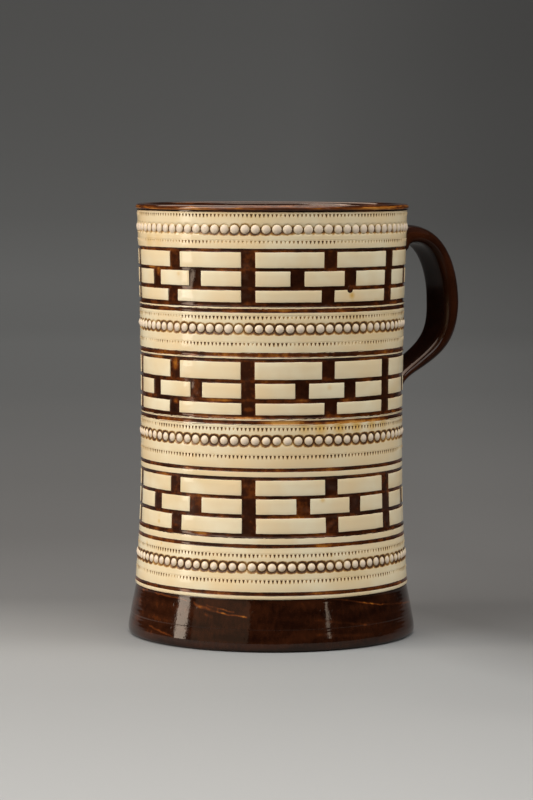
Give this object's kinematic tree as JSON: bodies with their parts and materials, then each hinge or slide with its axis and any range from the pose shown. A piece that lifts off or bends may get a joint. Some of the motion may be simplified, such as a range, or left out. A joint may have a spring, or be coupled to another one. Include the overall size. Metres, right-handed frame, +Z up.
{
  "type": "tankard",
  "caption": "Cylindrical earthenware tankard with a flared foot, turned brickwork bands, beaded rows, brown slip and a pulled strap handle.",
  "frame": {"origin": "centre of the flat base, on the surface the tankard stands on", "axes": "+Z up the axis of the body, +X from the axis towards the handle"},
  "size_m": [0.135, 0.1106, 0.165],
  "materials": {
    "cream_glaze": "clear glaze over cream clay",
    "brown_slip": "glossy brown slip under clear glaze",
    "handle_slip": "glossy dark brown slip under clear glaze"
  },
  "bodies": {
    "root": {"body": "cream_glaze", "handle": "handle_slip", "foot_slip": "brown_slip", "lip_and_lining_slip": "brown_slip", "foot_line": "brown_slip", "line_below_lower_bricks": "brown_slip", "mortar_slip_lower": "brown_slip", "line_above_lower_bricks": "brown_slip", "line_below_middle_bricks": "brown_slip", "mortar_slip_middle": "brown_slip", "line_above_middle_bricks": "brown_slip", "line_below_upper_bricks": "brown_slip", "mortar_slip_upper": "brown_slip"}
  },
  "joints": []
}
